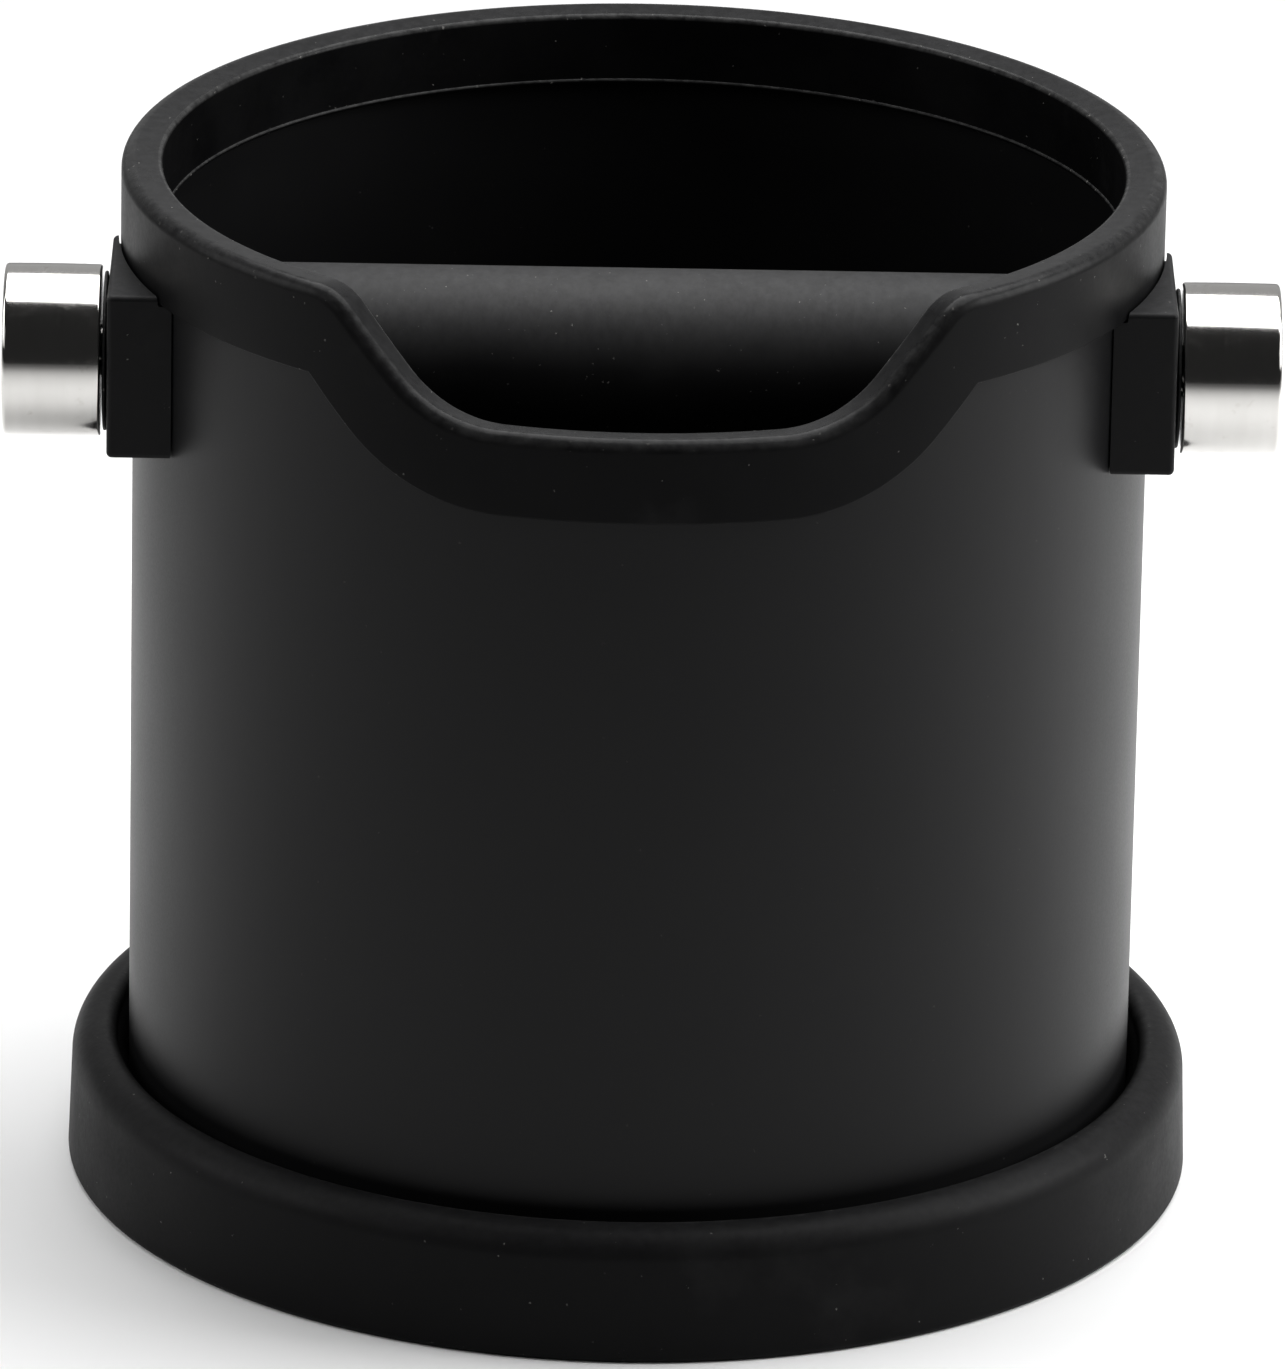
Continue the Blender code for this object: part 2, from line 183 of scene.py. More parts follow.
def grid_mesh(columns, wear):
    """A ring of equal columns of points, closed both ways, as a bmesh with wear at each point."""
    bm = bmesh.new()
    layer = bm.verts.layers.float.new("wear")
    rows = []
    for column, values in zip(columns, wear):
        row = []
        for point, value in zip(column, values):
            vert = bm.verts.new(point)
            vert[layer] = float(value)
            row.append(vert)
        rows.append(row)
    for i, row in enumerate(rows):
        before = rows[i - 1]
        for j in range(len(row)):
            bm.faces.new((before[j - 1], row[j - 1], row[j], before[j]))
    bmesh.ops.remove_doubles(bm, verts=bm.verts, dist=1e-7)
    bmesh.ops.dissolve_degenerate(bm, edges=bm.edges, dist=1e-7)
    return bm


def wear_from(profile):
    """Wear from 0 on flats to 1 on edges rounded to 0.6 mm or less; on rubber it also places a
    painted highlight along upward edges.
    """
    return np.clip((bends(profile) - WEAR_BEND) / WEAR_BEND_SPAN, 0.0, 1.0)


def spun(profile, steps):
    """Spin a closed (radius, height) profile about Z."""
    wear = wear_from(profile)
    columns = []
    for i in range(steps):
        angle = math.tau * i / steps
        columns.append([(r * math.sin(angle), -r * math.cos(angle), z) for r, z in profile])
    return grid_mesh(columns, [wear] * steps)


def laid_on_bar(bm, side):
    """Turn a spun shape so that its height axis points outwards along X on one side."""
    bmesh.ops.transform(bm, matrix=Matrix.Rotation(side * math.pi / 2, 4, "Y"), verts=bm.verts)
    return bm


def add_mesh(name, bm, place=(0.0, 0.0, 0.0)):
    """Make an object of a bmesh, which is measured from the place given."""
    bmesh.ops.recalc_face_normals(bm, faces=bm.faces)
    mesh = bpy.data.meshes.new(name)
    bm.to_mesh(mesh)
    bm.free()
    made = bpy.data.objects.new(name, mesh)
    made.location = place
    bpy.context.scene.collection.objects.link(made)
    return made


def cut(target, helper, operation="DIFFERENCE"):
    """Apply a boolean with a helper solid, which is then removed."""
    modifier = target.modifiers.new("cut", "BOOLEAN")
    modifier.operation = operation
    modifier.solver = "EXACT"
    modifier.object = helper
    bpy.context.view_layer.update()
    evaluated = target.evaluated_get(bpy.context.evaluated_depsgraph_get())
    shape = bpy.data.meshes.new_from_object(evaluated)
    target.modifiers.clear()
    target.data = shape
    bpy.data.objects.remove(helper)


def rod(radius, low, high, side):
    """A plain helper cylinder along the bar's axis, as a cutter."""
    profile = [(0.0, low), (radius, low), (radius, high), (0.0, high)]
    return add_mesh("helper", laid_on_bar(spun(profile, SMALL_STEPS), side), BAR_AXIS)


def upright(radius, low, high):
    """A plain helper cylinder on the drum's axis, as a cutter."""
    profile = [(0.0, low), (radius, low), (radius, high), (0.0, high)]
    return add_mesh("helper", spun(profile, CUTTER_STEPS))


def beside_bar(radius, half):
    """The same, reaching as far below the bar's axis as above it."""
    return upright(radius, BAR_AXIS.z - half, BAR_AXIS.z + half)


def dressed(made, finish, node, body):
    """Shade a finished piece, give it its finish, hang it on its body and hide the CAD node it
    stands for.
    """
    made.data.shade_smooth()
    made.data.set_sharp_from_angle(angle=SHARP_ANGLE)
    made.data.materials.clear()
    made.data.materials.append(finish)
    weighted = made.modifiers.new("even shading", "WEIGHTED_NORMAL")
    weighted.keep_sharp = True
    weighted.weight = 80
    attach(made, body)
    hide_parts(node)


# ---------------------------------------------------------------- the scooped edge

def scoop_side(steps=24):
    """One side of the scoop's outline, from its shoulder inwards, as (along, height) points.

    Along is the place round the wall, 0 at the front, and height is counted from the level edge.
    """
    points = []
    for i in range(steps + 1):
        angle = SCOOP_SLOPE * i / steps
        along = -SCOOP_HALF + SCOOP_SHOULDER_R * math.sin(angle)
        points.append((along, -SCOOP_SHOULDER_R * (1 - math.cos(angle))))
    curved_drop = (SCOOP_SHOULDER_R + SCOOP_HOLLOW_R) * (1 - math.cos(SCOOP_SLOPE))
    straight_drop = SCOOP_DEPTH - curved_drop
    straight_run = straight_drop / math.tan(SCOOP_SLOPE)
    start = points[-1]
    points += line(start, (start[0] + straight_run, start[1] - straight_drop), steps)
    centre_along = points[-1][0] + SCOOP_HOLLOW_R * math.sin(SCOOP_SLOPE)
    for i in range(1, steps + 1):
        angle = SCOOP_SLOPE * (1 - i / steps)
        along = centre_along - SCOOP_HOLLOW_R * math.sin(angle)
        points.append((along, -SCOOP_DEPTH + SCOOP_HOLLOW_R * (1 - math.cos(angle))))
    return points


def edge_outline(spacing=0.0002):
    """The steel edge near the scoop, as evenly spaced (along, height) points."""
    side = np.array(scoop_side())
    reach = SCOOP_HALF + TRIM_OUT_DROP + SCOOP_MARGIN
    along = np.linspace(-reach, reach, int(2 * reach / spacing) + 1)
    height = np.interp(-np.abs(along), side[:, 0], side[:, 1], left=0.0, right=-SCOOP_DEPTH)
    return along, height


EDGE_ALONG, EDGE_DROP = edge_outline()


def edge_height(along):
    """Height of the steel edge at a place round the wall."""
    return EDGE_Z + float(np.interp(along, EDGE_ALONG, EDGE_DROP, left=0.0, right=0.0))


def offset_height(along, offset):
    """Height of a line that keeps a fixed distance from the steel edge, as a rolled disc does."""
    if abs(offset) < 1e-7:
        return edge_height(along)
    if abs(along) > SCOOP_HALF + abs(offset) + LEVEL_MARGIN:
        return EDGE_Z + offset
    sign = math.copysign(1.0, offset)
    highest = sign * (edge_height(along) - EDGE_Z) + abs(offset)
    rest = offset * offset - (along - EDGE_ALONG) ** 2
    near = rest > 0.0
    if near.any():
        highest = max(highest, float((sign * EDGE_DROP[near] + np.sqrt(rest[near])).max()))
    return EDGE_Z + sign * highest


def column_angles():
    """Angles round the drum from its front, closer together where the scoop's outline bends."""
    step = math.tau / RING_STEPS
    angles = []
    for i in range(RING_STEPS):
        angle = -math.pi + step * i
        angles.append(angle)
        if abs(angle + step / 2) * DRUM_R < FINE_COLUMNS_HALF:
            angles += [angle + step / 3, angle + step * 2 / 3]
    return angles


def wrapped(section):
    """A shell round Z whose closed (radius, height) section changes with the place round it."""
    columns = []
    wear = []
    for angle in column_angles():
        profile = section(angle * DRUM_R)
        columns.append([(r * math.sin(angle), -r * math.cos(angle), z) for r, z in profile])
        wear.append(wear_from(profile))
    return grid_mesh(columns, wear)


# ---------------------------------------------------------------- node materials

COAT_DARK = (0.0045, 0.0045, 0.0048)
COAT_PALE = (0.0065, 0.0065, 0.0068)
COAT_RUBBED = (0.060, 0.060, 0.062)
COAT_DUST = (0.30, 0.29, 0.27)
# pale film on rubber tops: dust, and painted light where the tops face the overhead light
RUBBER_DUST_AND_TOP_LIGHT = (0.16, 0.16, 0.165)
# paler rubbed rubber edges, partly a painted highlight along upward edges
RUBBER_RUBBED_AND_HIGHLIGHT = (0.100, 0.100, 0.098)
RUBBER_WIPED = (0.020, 0.020, 0.020)
RUBBER_FLECK = (0.38, 0.37, 0.35)
STEEL_DARK = (0.59, 0.58, 0.56)
STEEL_PALE = (0.63, 0.62, 0.60)
STEEL_STAIN = (0.30, 0.26, 0.22)
STEEL_MARK = (0.20, 0.18, 0.16)
FLOOR_DARK = (0.87, 0.87, 0.87)
FLOOR_PALE = (0.90, 0.90, 0.90)


def node(tree, kind, inputs=None, **settings):
    """Add a shader node.  Inputs are values or the sockets that feed them."""
    made = tree.nodes.new(kind)
    for name, value in settings.items():
        setattr(made, name, value)
    for key, value in (inputs or {}).items():
        if isinstance(value, bpy.types.NodeSocket):
            tree.links.new(value, made.inputs[key])
        else:
            made.inputs[key].default_value = value
    return made


def noise(tree, place, scale, detail, roughness):
    """Soft noise round 0.5."""
    return node(tree, "ShaderNodeTexNoise", {"Vector": place, "Scale": scale, "Detail": detail,
                                             "Roughness": roughness}).outputs[0]


def ranged(tree, value, low, high, to_low=0.0, to_high=1.0):
    """Map a value from one range to another, clamped."""
    return node(tree, "ShaderNodeMapRange", {0: value, 1: low, 2: high, 3: to_low,
                                             4: to_high}).outputs[0]


def calc(tree, operation, a, b=0.0):
    """One step of arithmetic."""
    return node(tree, "ShaderNodeMath", {0: a, 1: b}, operation=operation).outputs[0]


def blend(tree, share, first, second):
    """Mix two colours, or a colour and what feeds it."""
    made = node(tree, "ShaderNodeMix", {0: share}, data_type="RGBA")
    for index, colour in ((6, first), (7, second)):
        if isinstance(colour, bpy.types.NodeSocket):
            tree.links.new(colour, made.inputs[index])
        else:
            made.inputs[index].default_value = (*colour, 1.0)
    return made.outputs[2]


def bump(tree, height, distance, strength, normal=None):
    """Bend the surface's normal by a height pattern, on top of another bump if one is given."""
    made = node(tree, "ShaderNodeBump", {"Height": height, "Distance": distance,
                                         "Strength": strength})
    if normal is not None:
        tree.links.new(normal, made.inputs["Normal"])
    return made.outputs["Normal"]


def specks(tree, place, scale, share, size):
    """Small ragged flecks, one in each of a share of the cells of a Voronoi pattern."""
    ragged = node(tree, "ShaderNodeTexNoise", {"Vector": place, "Scale": scale * 5.0,
                                               "Detail": 2.0}).outputs["Color"]
    shift = node(tree, "ShaderNodeVectorMath", {0: ragged, 1: (0.6 / scale,) * 3},
                 operation="MULTIPLY").outputs[0]
    bent = node(tree, "ShaderNodeVectorMath", {0: place, 1: shift}, operation="ADD").outputs[0]
    cells = node(tree, "ShaderNodeTexVoronoi", {"Vector": bent, "Scale": scale})
    parts = node(tree, "ShaderNodeSeparateColor", {0: cells.outputs["Color"]})
    chosen = ranged(tree, parts.outputs[0], 1.0 - share, 1.0 - share * 0.6)
    width = ranged(tree, parts.outputs[1], 0.0, 1.0, size * 0.35, size)
    near = calc(tree, "LESS_THAN", cells.outputs["Distance"], width)
    return calc(tree, "MULTIPLY", near, chosen)


def start_material(name):
    """A material with a Principled shader, and the piece's own coordinates and wear value."""
    made = bpy.data.materials.new(name)
    made.use_nodes = True
    tree = made.node_tree
    shader = tree.nodes["Principled BSDF"]
    coords = node(tree, "ShaderNodeTexCoord")
    wear = node(tree, "ShaderNodeAttribute", attribute_name="wear").outputs["Fac"]
    return made, tree, shader, coords, wear


def top_facing(tree, coords, low=0.2, high=0.95):
    """0 where the piece at rest faces up no more than low, 1 from high, in its own frame."""
    parts = node(tree, "ShaderNodeSeparateXYZ", {0: coords.outputs["Normal"]})
    return ranged(tree, parts.outputs[2], low, high)


def powder_coat(name):
    """Fine satin black powder coat: orange peel, faint dust and slightly uneven gloss."""
    made, tree, shader, coords, wear = start_material(name)
    place = coords.outputs["Object"]
    patches = noise(tree, place, scale=22.0, detail=4.0, roughness=0.6)
    grain = noise(tree, place, scale=2600.0, detail=2.0, roughness=0.6)
    peel = noise(tree, place, scale=620.0, detail=2.0, roughness=0.5)
    dust = specks(tree, place, scale=260.0, share=0.05, size=0.10)
    fine_dust = specks(tree, place, scale=900.0, share=0.03, size=0.16)
    all_dust = calc(tree, "MAXIMUM", dust, fine_dust)
    tint = ranged(tree, patches, 0.3, 0.7)
    body = blend(tree, tint, COAT_DARK, COAT_PALE)
    paled_edges = blend(tree, calc(tree, "MULTIPLY", wear, 0.35), body, COAT_RUBBED)
    dusty = blend(tree, calc(tree, "MULTIPLY", all_dust, 0.10), paled_edges, COAT_DUST)
    tree.links.new(dusty, shader.inputs["Base Color"])
    gloss = ranged(tree, patches, 0.25, 0.75, 0.37, 0.43)
    rough = calc(tree, "ADD", gloss, ranged(tree, grain, 0.3, 0.7, -0.02, 0.03))
    rough = calc(tree, "ADD", rough, calc(tree, "MULTIPLY", all_dust, 0.25))
    tree.links.new(rough, shader.inputs["Roughness"])
    shader.inputs["Specular IOR Level"].default_value = 0.135
    first = bump(tree, peel, distance=0.00002, strength=0.35)
    second = bump(tree, grain, distance=0.000006, strength=0.5, normal=first)
    tree.links.new(second, shader.inputs["Normal"])
    return made


def rubber(name, dark, pale, rough, dust_and_top_light, speck_share, specular, stretch=(1.0, 1.0, 1.0),
           smoothed=0.0):
    """Moulded black rubber: fine matt grain, wiped smudges, pale specks and nicks along edges.

    The film value is how much pale film lies on surfaces that face up: dust, and painted light on
    tops that face the overhead light.  Smoothed is how much less rough handling has made them.
    Stretch scales the pattern of this film and of the rubbed edges along X, Y and Z.
    """
    made, tree, shader, coords, wear = start_material(name)
    place = coords.outputs["Object"]
    stretched = node(tree, "ShaderNodeMapping", {"Vector": place, "Scale": stretch}).outputs[0]
    smudge = noise(tree, place, scale=60.0, detail=5.0, roughness=0.62)
    cloud = noise(tree, stretched, scale=700.0, detail=5.0, roughness=0.65)
    grain = noise(tree, place, scale=3600.0, detail=2.0, roughness=0.6)
    pores = noise(tree, place, scale=1200.0, detail=3.0, roughness=0.6)
    tint = ranged(tree, smudge, 0.35, 0.68)
    body = blend(tree, tint, dark, pale)
    upward = top_facing(tree, coords)
    # pale film on faces that face up: dust, and painted light on tops lit from above
    dust_and_top_light_share = calc(tree, "MULTIPLY", upward, ranged(tree, cloud, 0.35, 0.65, 0.52, 1.0))
    dust_and_top_lit = blend(tree, calc(tree, "MULTIPLY", dust_and_top_light_share, dust_and_top_light), body, RUBBER_DUST_AND_TOP_LIGHT)
    # paler edges on the upper side: rubbing, and a painted highlight along upward edges such as the
    # crest
    handled_and_lit_side = top_facing(tree, coords, -0.1, 0.6)
    rubbed_and_highlit = calc(tree, "MULTIPLY", calc(tree, "MULTIPLY", wear, handled_and_lit_side),
                  ranged(tree, cloud, 0.35, 0.65, 0.05, 0.40))
    paled_edges = blend(tree, rubbed_and_highlit, dust_and_top_lit, RUBBER_RUBBED_AND_HIGHLIGHT)
    wipes = noise(tree, place, scale=34.0, detail=6.0, roughness=0.68)
    wiped = ranged(tree, wipes, 0.60, 0.76, 0.0, 0.30)
    wiped_on = blend(tree, wiped, paled_edges, RUBBER_WIPED)
    large = specks(tree, place, scale=420.0, share=speck_share, size=0.10)
    small = specks(tree, place, scale=1300.0, share=speck_share, size=0.20)
    nicks = specks(tree, place, scale=900.0, share=0.30, size=0.22)
    nicked = calc(tree, "MULTIPLY", nicks, ranged(tree, wear, 0.15, 0.50))
    dots = calc(tree, "MAXIMUM", calc(tree, "MAXIMUM", large, small), nicked)
    dotted = blend(tree, calc(tree, "MULTIPLY", dots, 0.30), wiped_on, RUBBER_FLECK)
    tree.links.new(dotted, shader.inputs["Base Color"])
    uneven = ranged(tree, smudge, 0.3, 0.7, rough - 0.05, rough + 0.06)
    fine = calc(tree, "ADD", uneven, ranged(tree, pores, 0.3, 0.7, -0.03, 0.03))
    sheen = calc(tree, "ADD", calc(tree, "MULTIPLY", rubbed_and_highlit, 0.15),
                 calc(tree, "MULTIPLY", upward, smoothed))
    total = calc(tree, "SUBTRACT", fine, sheen)
    tree.links.new(total, shader.inputs["Roughness"])
    shader.inputs["Specular IOR Level"].default_value = specular
    first = bump(tree, pores, distance=0.00003, strength=0.30)
    second = bump(tree, grain, distance=0.00001, strength=0.45, normal=first)
    third = bump(tree, dots, distance=0.00005, strength=0.5, normal=second)
    tree.links.new(third, shader.inputs["Normal"])
    return made


def turned_steel(name, rough, ring_scale, anisotropic):
    """Stainless steel turned about the X axis: fine rings, faint stains, small handling marks."""
    made, tree, shader, coords, wear = start_material(name)
    place = coords.outputs["Object"]
    parts = node(tree, "ShaderNodeSeparateXYZ", {0: place})
    radius_y = calc(tree, "MULTIPLY", parts.outputs[1], parts.outputs[1])
    radius_z = calc(tree, "MULTIPLY", parts.outputs[2], parts.outputs[2])
    radius = calc(tree, "SQRT", calc(tree, "ADD", radius_y, radius_z))
    outwards = calc(tree, "ABSOLUTE", parts.outputs[0])
    run = calc(tree, "SUBTRACT", radius, outwards)      # changes along sides and across faces
    angle = calc(tree, "ARCTAN2", parts.outputs[1], parts.outputs[2])
    lathe = node(tree, "ShaderNodeCombineXYZ", {0: calc(tree, "MULTIPLY", run, ring_scale),
                                                1: calc(tree, "MULTIPLY", angle, 0.35),
                                                2: 0.0}).outputs[0]
    rings = noise(tree, lathe, scale=1.0, detail=3.0, roughness=0.7)
    broad = node(tree, "ShaderNodeCombineXYZ", {0: calc(tree, "MULTIPLY", run, ring_scale * 0.16),
                                                1: calc(tree, "MULTIPLY", angle, 0.8),
                                                2: 4.0}).outputs[0]
    bands = noise(tree, broad, scale=1.0, detail=2.0, roughness=0.5)
    stain = noise(tree, place, scale=420.0, detail=4.0, roughness=0.65)
    marks = specks(tree, place, scale=900.0, share=0.05, size=0.14)
    body = blend(tree, ranged(tree, bands, 0.3, 0.7), STEEL_DARK, STEEL_PALE)
    stained = blend(tree, ranged(tree, stain, 0.60, 0.74, 0.0, 0.35), body, STEEL_STAIN)
    marked = blend(tree, calc(tree, "MULTIPLY", marks, 0.5), stained, STEEL_MARK)
    tree.links.new(marked, shader.inputs["Base Color"])
    shader.inputs["Metallic"].default_value = 1.0
    base = ranged(tree, rings, 0.3, 0.7, rough * 0.85, rough * 1.2)
    smeared = calc(tree, "ADD", base, ranged(tree, stain, 0.55, 0.80, 0.0, 0.10))
    polished = calc(tree, "SUBTRACT", smeared, calc(tree, "MULTIPLY", wear, 0.02))
    tree.links.new(polished, shader.inputs["Roughness"])
    shader.inputs["Anisotropic"].default_value = anisotropic
    tangent = node(tree, "ShaderNodeTangent", direction_type="RADIAL", axis="X")
    tree.links.new(tangent.outputs[0], shader.inputs["Tangent"])
    first = bump(tree, rings, distance=0.000003, strength=0.06)
    second = bump(tree, marks, distance=0.00001, strength=0.2, normal=first)
    tree.links.new(second, shader.inputs["Normal"])
    return made


coat = powder_coat("satin powder coat")
trim_rubber = rubber("trim rubber", (0.0018, 0.0018, 0.0020), (0.0032, 0.0032, 0.0034),
                     rough=0.43, dust_and_top_light=0.09, speck_share=0.035, specular=0.065,
                     smoothed=0.20)
boot_rubber = rubber("boot rubber", (0.0018, 0.0018, 0.0020), (0.0036, 0.0036, 0.0039),
                     rough=0.50, dust_and_top_light=0.05, speck_share=0.030, specular=0.085)
sleeve_rubber = rubber("sleeve rubber", (0.0040, 0.0040, 0.0043), (0.0070, 0.0070, 0.0073),
                       rough=0.56, dust_and_top_light=0.13, speck_share=0.090, specular=0.19,
                       stretch=(1.0, 0.60, 0.60))
block_rubber = rubber("block rubber", (0.0020, 0.0020, 0.0022), (0.0038, 0.0038, 0.0041),
                      rough=0.52, dust_and_top_light=0.12, speck_share=0.035, specular=0.13)
knob_steel = turned_steel("turned knob steel", rough=0.10, ring_scale=2600.0, anisotropic=0.45)
washer_steel = turned_steel("washer steel", rough=0.20, ring_scale=3400.0, anisotropic=0.45)
stud_steel = turned_steel("stud steel", rough=0.24, ring_scale=5200.0, anisotropic=0.2)
core_steel = turned_steel("core rod steel", rough=0.32, ring_scale=1500.0, anisotropic=0.45)


# ---------------------------------------------------------------- drum, trim and boot

def drum_section(along):
    """Section of the steel sheet from the middle of the floor, up to the edge and back."""
    edge = edge_height(along)
    corner = (DRUM_R - DRUM_CORNER_R, DRUM_BOTTOM + DRUM_CORNER_R)
    outside = arc(corner, DRUM_CORNER_R, -90, 0, 12)
    inside = arc(corner, DRUM_CORNER_R - WALL, 0, -90, 12)
    soft = SHEET_EDGE_ROUND
    top = arc((DRUM_R - soft, edge - soft), soft, 0, 90, 4)
    top += arc((DRUM_R - WALL + soft, edge - soft), soft, 90, 180, 4)
    floor_low = line((0.0, DRUM_BOTTOM), outside[0], 6)[:-1]
    floor_high = line(inside[-1], (0.0, DRUM_BOTTOM + WALL), 6)
    wall_out = line(outside[-1], top[0], 10)[:-1]
    wall_in = line(top[-1], inside[0], 10)[:-1]
    outer_side = [(0.0, DRUM_BOTTOM)] + floor_low + outside + wall_out
    return outer_side + top + wall_in + inside + floor_high


def trim_section(along):
    """Section of the rubber channel: two walls joined over the edge by a nearly flat crest."""
    inner_slot = DRUM_R - WALL - GAP
    outer_slot = DRUM_R + GAP
    out_corner = (TRIM_OUT_R - TRIM_CREST_OUT_ROUND, TRIM_CREST - TRIM_CREST_OUT_ROUND)
    in_corner = (TRIM_IN_R + TRIM_CREST_IN_ROUND,
                 TRIM_CREST - TRIM_CREST_FALL - TRIM_CREST_IN_ROUND)
    lean = math.degrees(math.atan2(TRIM_CREST_FALL, out_corner[0] - in_corner[0]))
    outer_round = arc(out_corner, TRIM_CREST_OUT_ROUND, 0, 90 + lean, 14)
    inner_round = arc(in_corner, TRIM_CREST_IN_ROUND, 90 + lean, 180, 10)
    crest = outer_round + line(outer_round[-1], inner_round[0], 6)[:-1] + inner_round
    lip = (TRIM_IN_R - TRIM_BEAD + TRIM_IN_LIP_R, -TRIM_IN_DROP + TRIM_IN_LIP_R)
    inner_lip = arc(lip, TRIM_IN_LIP_R, 120, 270, 9)
    bead_top = (TRIM_IN_R, lip[1] + TRIM_IN_LIP_R + TRIM_BEAD_FADE)
    scooped = (EDGE_Z - edge_height(along)) / SCOOP_DEPTH
    outer_drop = TRIM_OUT_DROP - TRIM_SCOOP_NARROWING * scooped
    lip = (TRIM_OUT_R - TRIM_OUT_LIP_R, -outer_drop + TRIM_OUT_LIP_R)
    outer_lip = arc(lip, TRIM_OUT_LIP_R, 270, 360, 5)
    inner_wall = line(crest[-1], bead_top, 5)
    outer_wall = line(outer_lip[-1], crest[0], 5)[:-1]
    inside = crest + inner_wall + inner_lip + [(inner_slot, -TRIM_IN_DROP)]
    outside = [(outer_slot, -outer_drop)] + outer_lip + outer_wall
    slot_top = edge_height(along) + 2 * GAP
    section = [(radius, offset_height(along, offset)) for radius, offset in inside]
    section += [(inner_slot, slot_top), (outer_slot, slot_top)]
    tucked = along * TRIM_SCOOP_TUCK
    section += [(radius, offset_height(tucked, offset)) for radius, offset in outside]
    return section


def boot_section():
    """Section of the rubber cup: grooved floor, flared side, round shoulder, widened mouth."""
    profile = [(0.0, 0.0)]
    for radius in BOOT_GROOVES:
        inner = radius - BOOT_GROOVE_HALF
        outer = radius + BOOT_GROOVE_HALF
        soft = BOOT_GROOVE_SOFT
        profile += arc((inner - soft, soft), soft, -90, 0, 4)
        profile += line(profile[-1], (inner + BOOT_GROOVE_DRAFT, BOOT_GROOVE_DEPTH), 1)
        profile += line(profile[-1], (outer - BOOT_GROOVE_DRAFT, BOOT_GROOVE_DEPTH), 2)
        profile += arc((outer + soft, soft), soft, 180, 270, 4)
    foot = (BOOT_FOOT_R - BOOT_FOOT_ROUND, BOOT_FOOT_ROUND)
    profile += arc(foot, BOOT_FOOT_ROUND, -90, 0, 8)
    shoulder = (BOOT_TOP_R - BOOT_SHOULDER_R, BOOT_HEIGHT - BOOT_SHOULDER_R)
    profile += line(profile[-1], (BOOT_TOP_R, shoulder[1]), 6)[:-1]
    profile += arc(shoulder, BOOT_SHOULDER_R, 0, 90, 18)
    mouth = (BOOT_MOUTH_R + BOOT_MOUTH_ROUND, BOOT_HEIGHT - BOOT_MOUTH_ROUND)
    profile += arc(mouth, BOOT_MOUTH_ROUND, 90, 180, 8)
    profile += [(BOOT_MOUTH_R - BOOT_MOUTH_TAPER, BOOT_HEIGHT - BOOT_MOUTH_DEPTH * 0.6),
                (DRUM_R + GAP, BOOT_HEIGHT - BOOT_MOUTH_DEPTH)]
    seat_corner = (DRUM_R - DRUM_CORNER_R, BOOT_FLOOR + DRUM_CORNER_R)
    profile += arc(seat_corner, DRUM_CORNER_R + GAP, 0, -90, 12)
    profile += [(0.0, BOOT_FLOOR)]
    return profile


drum = add_mesh("drum", wrapped(drum_section))
for side in (-1, 1):
    cut(drum, rod(WALL_HOLE_R, INSIDE_WALL_X, OUTSIDE_WALL_X, side))
dressed(drum, coat, "drum_shell", "drum")

trim = add_mesh("trim", wrapped(trim_section))
dressed(trim, trim_rubber, "rim_trim", "trim")

boot = add_mesh("boot", spun(boot_section(), RING_STEPS))
dressed(boot, boot_rubber, "base_boot", "boot")


# ---------------------------------------------------------------- the knock bar

def core_section():
    """Rod with a tapped hole and a chamfer at each end."""
    chamfer = 0.0005
    tapped = CORE_HALF - TAPPED_DEPTH
    profile = [(0.0, -tapped), (BORE_R, -tapped), (BORE_R, -CORE_HALF + chamfer)]
    profile += [(BORE_R + chamfer, -CORE_HALF), (CORE_R - chamfer, -CORE_HALF)]
    profile += [(CORE_R, -CORE_HALF + chamfer)]
    profile += [(radius, -height) for radius, height in reversed(profile)]
    return profile


def sleeve_section():
    """Thick rubber tube with softly rounded ends."""
    soft = 0.0009
    inner = CORE_R + GAP
    low_end = arc((SLEEVE_R - soft, -CORE_HALF + soft), soft, -90, 0, 7)
    high_end = arc((SLEEVE_R - soft, CORE_HALF - soft), soft, 0, 90, 7)
    side = line(low_end[-1], high_end[0], 24)[:-1]
    return [(inner, -CORE_HALF)] + low_end + side + high_end + [(inner, CORE_HALF)]


core = add_mesh("bar_rod", laid_on_bar(spun(core_section(), SMALL_STEPS), 1), BAR_AXIS)
dressed(core, core_steel, "bar_core", "bar")
sleeve = add_mesh("bar_rubber", laid_on_bar(spun(sleeve_section(), SMALL_STEPS), 1), BAR_AXIS)
dressed(sleeve, sleeve_rubber, "bar_sleeve", "bar")


# ---------------------------------------------------------------- bar ends, one set on each side

def span(node_name, side):
    """Nearest and furthest |x| of a round node on the bar's axis, and its radius."""
    low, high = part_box(node_name)
    reach = sorted((side * low.x, side * high.x))
    return reach[0], reach[1], (high.z - low.z) / 2


def washer(name, side, radius, low, high):
    """Flat washer with softly rounded edges."""
    soft = 0.00022
    profile = arc((BORE_R + soft, low + soft), soft, 180, 270, 3)
    profile += arc((radius - soft, low + soft), soft, 270, 360, 5)
    profile += arc((radius - soft, high - soft), soft, 0, 90, 5)
    profile += arc((BORE_R + soft, high - soft), soft, 90, 180, 3)
    return add_mesh(name, laid_on_bar(spun(profile, SMALL_STEPS), side), BAR_AXIS)


def inner_seat(name, side, radius, low):
    """Rubber disc between bar and wall: flat towards the bar, curved like the wall outside."""
    soft = 0.0005
    profile = [(BORE_R, low)] + arc((radius - soft, low + soft), soft, 270, 360, 5)
    profile += [(radius, OUTSIDE_WALL_X), (BORE_R, OUTSIDE_WALL_X)]
    made = add_mesh(name, laid_on_bar(spun(profile, SMALL_STEPS), side), BAR_AXIS)
    wall_round = DRUM_R - WALL - GAP
    cut(made, beside_bar(wall_round, SEAT_CUTTER_HALF), "INTERSECT")
    return made


